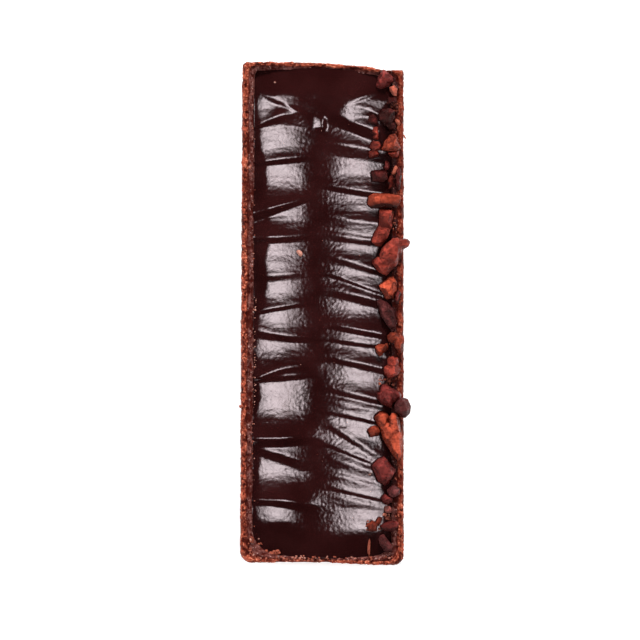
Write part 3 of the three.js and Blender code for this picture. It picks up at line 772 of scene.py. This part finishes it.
def make_nibs(materials):
    """One broken skin for each nib of the frame."""
    slots = {part["node"]: part["material_slot"] for part in frame["record"]["subparts"]}
    names = sorted(name for name in frame["nodes"] if name.startswith("nib_"))
    for i, name in enumerate(names):
        nib_from_node(name, slots[name], materials[slots[name]], FIRST_NIB_SEED + 3 * i)


# ---- crumbs --------------------------------------------------------------------------------------

CRUMB_SEED = 40
FIRST_GRAIN_SEED = 300
RIM_SINK = 0.25  # crumbs on the shell lie this far below its highest points
FAR_LIP = 1.2  # width of the filling's edge on which crumbs lie as high as on the far wall
TALLEST_SLIVER = 0.8

# Patches of loose crumbs: middle, half-sizes, how many, smallest and largest, darkest and palest.
CRUMB_PATCHES = (
    ((17.4, 51.2), (1.3, 1.7), 26, (0.35, 0.8), (0.0, 0.45)),
    ((18.2, 30.0), (1.0, 25.0), 50, (0.25, 0.6), (0.0, 0.5)),
    ((15.8, -16.9), (1.8, 0.8), 26, (0.3, 0.7), (0.1, 0.6)),
    ((17.8, -30.0), (1.4, 26.0), 60, (0.25, 0.6), (0.0, 0.5)),
    ((15.8, -50.3), (0.9, 0.7), 14, (0.35, 0.8), (0.35, 0.75)),
    ((12.6, -52.3), (1.8, 1.2), 22, (0.3, 0.7), (0.1, 0.7)),
    ((11.9, -39.6), (0.6, 0.6), 7, (0.12, 0.25), (0.7, 1.0)),
    ((0.0, -60.6), (17.5, 0.5), 70, (0.3, 0.65), (0.2, 0.8)),
    ((-16.6, -57.5), (1.6, 2.2), 34, (0.3, 0.7), (0.3, 0.9)),
    # Pale crumbs along the bare wall where it meets the filling: partly specks, partly painted
    # highlights at that contact.
    ((-17.0, 0.0), (0.35, 56.0), 50, (0.15, 0.35), (0.4, 0.9)),
    ((0.0, 0.0), (15.0, 56.0), 30, (0.08, 0.16), (0.6, 1.0)),
    ((-12.4, -59.3), (1.7, 0.6), 18, (0.5, 1.1), (0.3, 0.7)),
    ((-5.5, -60.2), (1.4, 0.3), 8, (0.3, 0.6), (0.7, 1.0)),
    # More pale crumbs at that contact: partly specks, partly painted highlights.
    ((-16.6, -10.0), (0.25, 14.0), 34, (0.15, 0.4), (0.75, 1.0)),
)
# Slivers and flakes: middle, length, width, turn from +X in degrees and paleness.
SLIVERS = (
    ((11.5, -57.8), 4.5, 0.7, 88, 0.4),
    ((18.6, 47.2), 1.7, 1.1, -70, 0.62),
    ((17.9, 35.2), 2.4, 1.2, 70, 0.62),
    ((-5.6, 14.8), 1.9, 1.1, -55, 0.8),
    ((20.3, 43.5), 1.2, 0.4, -62, 0.6),
    ((-20.1, -23.0), 1.0, 0.8, 20, 0.55),
    ((-20.0, -40.2), 0.9, 0.7, 60, 0.55),
    ((-11.7, 57.0), 0.5, 0.3, 0, 0.9),
)


def resting_height(x, y):
    """Height of whatever a crumb lies on."""
    far = FILLING_PLAN["far"] - FAR_LIP
    inside = abs(x) < FILLING_PLAN["half"] and -FILLING_PLAN["near"] < y < far
    return float(filling_top(np.array(x), np.array(y))) if inside else HEIGHT - RIM_SINK


def grain(ball, middle, size, turn, seed):
    """One crumb: a ball made lumpy, stretched to its size and turned about the vertical."""
    rng = np.random.default_rng(seed)
    lumpy = ball * (1 + 0.5 * fractal(ball + 9 * rng.random(3), 0.9, seed, 2))[:, None]
    lumpy = lumpy * np.array(size) / 2
    c, s = math.cos(math.radians(turn)), math.sin(math.radians(turn))
    x, y, z = lumpy.T
    rest = resting_height(*middle) + 0.3 * size[2]  # a fifth of the crumb sinks in
    return np.column_stack([middle[0] + c * x - s * y, middle[1] + s * x + c * y, rest + z])


def crumb_places():
    """Every crumb and sliver as (middle, size, turn, paleness)."""
    rng = np.random.default_rng(CRUMB_SEED)
    for middle, spread, count, sizes, tones in CRUMB_PATCHES:
        for _ in range(count):
            place = np.array(middle) + np.array(spread) * rng.uniform(-1, 1, 2)
            size = rng.uniform(*sizes) * rng.uniform((0.8, 0.6, 0.6), (1.3, 1.0, 0.9))
            yield place, size, rng.uniform(0, 180), rng.uniform(*tones)
    for middle, length, width, turn, tone in SLIVERS:
        yield np.array(middle), (length, width, min(width, TALLEST_SLIVER)), turn, tone


def make_crumbs(material):
    """All loose crumbs and slivers, as one piece."""
    work = bmesh.new()
    bmesh.ops.create_icosphere(work, subdivisions=2, radius=1)
    ball = np.array([v.co[:] for v in work.verts])
    triangles = np.array([[v.index for v in face.verts] for face in work.faces])
    work.free()
    points, faces, tones = [], [], []
    for i, (middle, size, turn, tone) in enumerate(crumb_places()):
        faces.append(triangles + i * len(ball))
        points.append(grain(ball, middle, size, turn, FIRST_GRAIN_SEED + i))
        tones.append(np.full(len(ball), tone))
    faces = np.concatenate(faces).tolist()
    crumbs = make_piece("loose_crumbs", np.concatenate(points), faces, material, "crust", [])
    add_masks(crumbs, {"tone": np.concatenate(tones)})


# ---- materials -----------------------------------------------------------------------------------


class Shader:
    """A short way to build one principled material from noise over the object's own coordinates."""

    def __init__(self, name, **settings):
        self.material = bpy.data.materials.new(name)
        self.material.use_nodes = True
        self.tree = self.material.node_tree
        self.surface = self.tree.nodes["Principled BSDF"]
        self.place = self.node("ShaderNodeTexCoord").outputs["Object"]
        for socket, value in settings.items():
            self.surface.inputs[socket.replace("_", " ")].default_value = value

    def node(self, kind, **properties):
        made = self.tree.nodes.new(kind)
        for key, value in properties.items():
            setattr(made, key, value)
        return made

    def link(self, source, target):
        self.tree.links.new(source, target)

    def noise(self, size_mm, detail=2.0, roughness=0.5):
        """Noise of about 0 to 1, with lumps of the given size."""
        spread = self.node("ShaderNodeMapping")
        spread.inputs["Scale"].default_value = [1 / (size_mm * MM)] * 3
        self.link(self.place, spread.inputs["Vector"])
        made = self.node("ShaderNodeTexNoise")
        made.inputs["Scale"].default_value = 1.0
        made.inputs["Detail"].default_value = detail
        made.inputs["Roughness"].default_value = roughness
        self.link(spread.outputs["Vector"], made.inputs["Vector"])
        return made.outputs["Fac"]

    def mask(self, name):
        """One of the masks stored on the mesh."""
        return self.node("ShaderNodeAttribute", attribute_name=name).outputs["Fac"]

    def spread(self, value, low, high, to_low=0.0, to_high=1.0):
        """Goes smoothly from to_low to to_high as the value goes from low to high."""
        made = self.node("ShaderNodeMapRange", interpolation_type="SMOOTHSTEP")
        for socket, number in zip(
            ("From Min", "From Max", "To Min", "To Max"), (low, high, to_low, to_high)
        ):
            made.inputs[socket].default_value = number
        self.link(value, made.inputs["Value"])
        return made.outputs["Result"]

    def blend(self, share, a, b):
        """Goes from colour a to colour b as the share goes from 0 to 1."""
        made = self.node("ShaderNodeMix", data_type="RGBA")
        self.link(share, made.inputs["Factor"])
        # The node's colour sockets come after its sockets for numbers and vectors.
        for socket, colour in ((made.inputs[6], a), (made.inputs[7], b)):
            if isinstance(colour, tuple):
                socket.default_value = (*colour, 1)
            else:
                self.link(colour, socket)
        return made.outputs[2]

    def bump(self, height, depth_mm):
        made = self.node("ShaderNodeBump")
        made.inputs["Distance"].default_value = depth_mm * MM
        self.link(height, made.inputs["Height"])
        self.link(made.outputs["Normal"], self.surface.inputs["Normal"])

    def paint(self, colour):
        self.link(colour, self.surface.inputs["Base Color"])

    def polish(self, value):
        self.link(value, self.surface.inputs["Roughness"])


def outer_crumb(shader, smeared):
    """Colour of the shell's top and outside: brown with pale grains, browner down its walls, and
    painted shade on the nib side's rim.
    """
    patches = shader.spread(shader.noise(2.2, 3), 0.36, 0.66)
    crumb = shader.blend(patches, (0.17, 0.022, 0.010), (0.40, 0.074, 0.038))
    grains = shader.spread(shader.noise(0.45, 2), 0.53, 0.66)
    crumb = shader.blend(grains, crumb, (0.72, 0.22, 0.125))
    # Painted shade on the nib side's rim.
    smear = shader.spread(smeared, 0, 1, 0, 0.55)
    crumb = shader.blend(smear, crumb, (0.11, 0.006, 0.002))
    wall = shader.spread(shader.mask("wall"), 0, 1, 0, 0.72)
    return shader.blend(wall, crumb, (0.075, 0.019, 0.011))


def inner_crumb(shader, smeared):
    """Colour of the slope down to the filling: mauve with whitish specks, and painted shade on the nib
    side.
    """
    patches = shader.spread(shader.noise(0.8, 3), 0.38, 0.62)
    mauve = shader.blend(patches, (0.085, 0.022, 0.018), (0.19, 0.066, 0.056))
    # Painted shade on the nib side's inner slope.
    mauve = shader.blend(smeared, mauve, (0.035, 0.009, 0.009))
    specks = shader.spread(shader.noise(0.35, 1), 0.62, 0.72)
    return shader.blend(specks, mauve, (0.48, 0.28, 0.25))


def shortcrust_material():
    """Baked dough with pale grains, painted highlights on its raised bits, and painted shade in its
    hollows, along its seam and on the nib side.
    """
    shader = Shader("baked_shortcrust", Specular_IOR_Level=0.12)
    relief, smeared = shader.mask("relief"), shader.mask("smeared")
    outer, inner = outer_crumb(shader, smeared), inner_crumb(shader, smeared)
    colour = shader.blend(shader.mask("inner_slope"), outer, inner)
    # Painted highlight on the crumb's raised bits.
    painted_peak_highlight = shader.spread(relief, 0.12, 0.34, 0.0, 0.5)
    colour = shader.blend(painted_peak_highlight, colour, (0.62, 0.18, 0.11))
    # Painted shade along the seam's crevice.
    seam = shader.spread(shader.mask("seam"), 0.2, 0.8, 0, 0.75)
    colour = shader.blend(seam, colour, (0.07, 0.005, 0.003))
    # Painted shade in the crumb's hollows.
    painted_hollow_shade = shader.spread(relief, -0.24, 0.075, 1.0, 0.0)
    shader.paint(shader.blend(painted_hollow_shade, colour, (0.055, 0.0045, 0.002)))
    shader.polish(shader.spread(shader.noise(1.0), 0.3, 0.7, 0.6, 0.85))
    shader.bump(shader.noise(0.35, 3, 0.65), 0.24)
    return shader.material


def ganache_material():
    """Almost black and glossy, with a faint red and mauve cast."""
    shader = Shader("glossy_ganache", Specular_IOR_Level=0.42)
    shader.surface.inputs["Specular Tint"].default_value = (1.0, 0.86, 0.895, 1)
    clouds = shader.spread(shader.noise(9.0, 2), 0.3, 0.7)
    shader.paint(shader.blend(clouds, (0.0150, 0.0024, 0.0024), (0.0235, 0.0046, 0.0046)))
    shader.polish(shader.spread(shader.noise(1.6, 3), 0.35, 0.7, 0.08, 0.13))
    shader.bump(shader.noise(0.7, 3, 0.6), 0.022)
    return shader.material


# The darkest and the lightest colour of each kind of nib.
NIB_LOOKS = {
    "nib_dark": ((0.010, 0.0014, 0.0014), (0.085, 0.012, 0.011)),
    "nib_mauve": ((0.030, 0.0055, 0.0060), (0.15, 0.034, 0.033)),
    "nib_maroon": ((0.040, 0.0045, 0.0048), (0.23, 0.034, 0.029)),
    "nib_red": ((0.050, 0.0050, 0.0040), (0.31, 0.044, 0.028)),
    "nib_orange": ((0.065, 0.0070, 0.0038), (0.45, 0.072, 0.034)),
}


def scaled(colour, factor):
    """The colour made darker or lighter."""
    return tuple(factor * c for c in colour)


def between(dark, light, share):
    """The colour at this share of the way from dark to light."""
    return tuple(mix(d, l, share) for d, l in zip(dark, light))


def nib_material(name, dark, light):
    """Broken cacao: clear facets, patches of its deep colour, painted highlights on its sharp edges,
    and painted shade on its near flank, in its cracks and towards its underside.
    """
    shader = Shader(name, Specular_IOR_Level=0.22)
    shader.surface.inputs["Specular Tint"].default_value = (1.0, 0.55, 0.5, 1)
    tone = shader.mask("tone")
    deep = shader.blend(tone, scaled(dark, 0.7), between(dark, light, 0.25))
    clear = shader.blend(tone, between(dark, light, 0.65), scaled(light, 2.0))
    # The facet mask mixes each facet's own tone with painted shade, between the deep and the clear
    # colour.
    colour = shader.blend(shader.mask("facet"), deep, clear)
    patches = shader.spread(shader.noise(1.8, 2), 0.38, 0.62, 0.35, 1.0)
    colour = shader.blend(patches, deep, colour)
    flecks = shader.spread(shader.noise(0.6, 3), 0.40, 0.60, 0.72, 1.0)
    colour = shader.blend(flecks, deep, colour)
    pale = shader.spread(shader.mask("pale"), 0, 1, 0, 0.12)
    colour = shader.blend(pale, colour, (0.70, 0.36, 0.29))
    # Painted highlight along the sharp edges.
    painted_edge_highlight = shader.spread(shader.mask("edge"), 0.35, 0.9, 0.0, 0.6)
    colour = shader.blend(painted_edge_highlight, colour, tuple(1.5 * c + 0.03 for c in light))
    # Painted shade towards the underside, where the nib meets what it lies on.
    colour = shader.blend(shader.mask("foot"), colour, scaled(dark, 0.4))
    colour = shader.blend(shader.mask("skin"), colour, scaled(dark, 0.25))
    # Painted shade in the cracks and other lowest parts of the relief.
    cracks = shader.spread(shader.mask("relief"), -0.14, -0.04, 1.0, 0.0)
    shader.paint(shader.blend(cracks, colour, scaled(dark, 0.25)))
    shader.polish(shader.spread(shader.noise(0.9), 0.35, 0.65, 0.20, 0.55))
    shader.bump(shader.noise(0.35, 3, 0.6), 0.15)
    return shader.material


def crumb_material():
    """Loose crumbs, from dark brown to pale by their tone."""
    shader = Shader("loose_crumb", Specular_IOR_Level=0.15)
    tone = shader.mask("tone")
    brown = shader.spread(tone, 0.0, 0.6)
    colour = shader.blend(brown, (0.045, 0.009, 0.007), (0.42, 0.105, 0.062))
    colour = shader.blend(shader.spread(tone, 0.6, 1.0), colour, (0.72, 0.40, 0.32))
    patches = shader.spread(shader.noise(0.4, 2), 0.4, 0.65, 0.0, 0.6)
    shader.paint(shader.blend(patches, colour, (0.09, 0.018, 0.013)))
    shader.polish(shader.spread(shader.noise(0.6), 0.3, 0.7, 0.5, 0.8))
    shader.bump(shader.noise(0.25, 2), 0.06)
    return shader.material


# ---- stage, lights and camera --------------------------------------------------------------------


def plain_material(name, grey, roughness, glow):
    """A matt grey that also glows white, for the floor and the backdrop."""
    material = bpy.data.materials.new(name)
    material.use_nodes = True
    surface = material.node_tree.nodes["Principled BSDF"]
    surface.inputs["Base Color"].default_value = (grey, grey, grey, 1)
    surface.inputs["Roughness"].default_value = roughness
    surface.inputs["Specular IOR Level"].default_value = 0.1
    surface.inputs["Emission Color"].default_value = (1, 1, 1, 1)
    surface.inputs["Emission Strength"].default_value = glow
    return material


def make_stage():
    """A round pale floor with a backdrop all round it."""
    bpy.ops.mesh.primitive_circle_add(
        vertices=STAGE_SIDES, radius=STAGE_RADIUS, fill_type="NGON", location=(0, 0, -FLOOR_CLEARANCE)
    )
    floor = bpy.context.object
    floor.name = "floor"
    floor.data.materials.append(plain_material("pale_floor", 0.86, 0.9, FLOOR_GLOW))
    bpy.ops.mesh.primitive_cylinder_add(
        vertices=STAGE_SIDES,
        radius=STAGE_RADIUS,
        depth=BACKDROP_HEIGHT,
        end_fill_type="NOTHING",
        location=(0, 0, BACKDROP_HEIGHT / 2),
    )
    wall = bpy.context.object
    wall.name = "backdrop"
    wall.data.materials.append(plain_material("pale_backdrop", 0.8, 0.9, BACKDROP_GLOW))


def soften_edge(light):
    """A softbox is brightest at its centre and fades towards its edge."""
    light.use_nodes = True
    tree = light.node_tree
    glow = next(n for n in tree.nodes if n.type == "EMISSION")
    place = tree.nodes.new("ShaderNodeNewGeometry").outputs["Parametric"]
    length = tree.nodes.new("ShaderNodeVectorMath")
    length.operation = "DISTANCE"
    length.inputs[1].default_value = (0.5, 0.5, 0.0)
    fade = tree.nodes.new("ShaderNodeMapRange")
    fade.interpolation_type = "SMOOTHSTEP"
    for socket, value in zip(("From Min", "From Max", "To Min", "To Max"), (0.0, 0.5, 1.0, EDGE_GLOW)):
        fade.inputs[socket].default_value = value
    tree.links.new(place, length.inputs[0])
    tree.links.new(length.outputs["Value"], fade.inputs["Value"])
    tree.links.new(fade.outputs["Result"], glow.inputs["Strength"])


def make_light(name, side, inner, outer):
    """A softbox over one side of the tart, which the filling mirrors as a row of soft patches."""
    light = bpy.data.lights.new(name, "AREA")
    light.shape = "ELLIPSE"
    light.size = outer - inner
    light.size_y = LIGHT_LENGTH
    light.energy = LIGHT_RADIANCE * math.pi * (math.pi / 4) * light.size * light.size_y
    soften_edge(light)
    holder = bpy.data.objects.new(name, light)
    holder.location = (side * (outer + inner) / 2, 0, LIGHT_HEIGHT)
    holder.visible_camera = False
    bpy.context.scene.collection.objects.link(holder)


def make_far_light():
    """A light from beyond the far end, which lights the shell and the nibs but isn't mirrored."""
    light = bpy.data.lights.new("light_far_end", "AREA")
    light.shape = "RECTANGLE"
    light.size, light.size_y = FAR_LIGHT_SIZE
    light.energy = FAR_LIGHT_RADIANCE * math.pi * light.size * light.size_y
    holder = bpy.data.objects.new("light_far_end", light)
    holder.location = FAR_LIGHT_PLACE
    holder.rotation_euler = (-Vector(FAR_LIGHT_PLACE)).to_track_quat("-Z", "Y").to_euler()
    holder.visible_camera = False
    holder.visible_glossy = False
    bpy.context.scene.collection.objects.link(holder)


def make_world():
    """A dim, even grey all round."""
    world = bpy.data.worlds.new("dim_studio")
    world.use_nodes = True
    background = world.node_tree.nodes["Background"]
    background.inputs["Color"].default_value = (WORLD_GREY, WORLD_GREY, WORLD_GREY, 1)
    bpy.context.scene.world = world


def make_camera():
    """The camera, straight above the tart as in the photograph."""
    data = bpy.data.cameras.new("above")
    data.sensor_width = 36
    data.lens = data.sensor_width * (CAMERA_HEIGHT - HEIGHT * MM) / VIEW_WIDTH
    data.clip_start = 0.01
    data.clip_end = 20
    camera = bpy.data.objects.new("above", data)
    camera.location = (*VIEW_CENTRE, CAMERA_HEIGHT)
    bpy.context.scene.collection.objects.link(camera)
    bpy.context.scene.camera = camera
    bpy.context.scene.view_settings.view_transform = "Standard"


# ---- the tart ------------------------------------------------------------------------------------

make_camera()
make_world()
make_light("light_bare_side", -1, *BARE_LIGHT)
make_light("light_nib_side", 1, *NIB_LIGHT)
make_far_light()
make_stage()

make_shell(shortcrust_material())
make_filling(ganache_material())
make_nibs({slot: nib_material(slot, *look) for slot, look in NIB_LOOKS.items()})
make_crumbs(crumb_material())
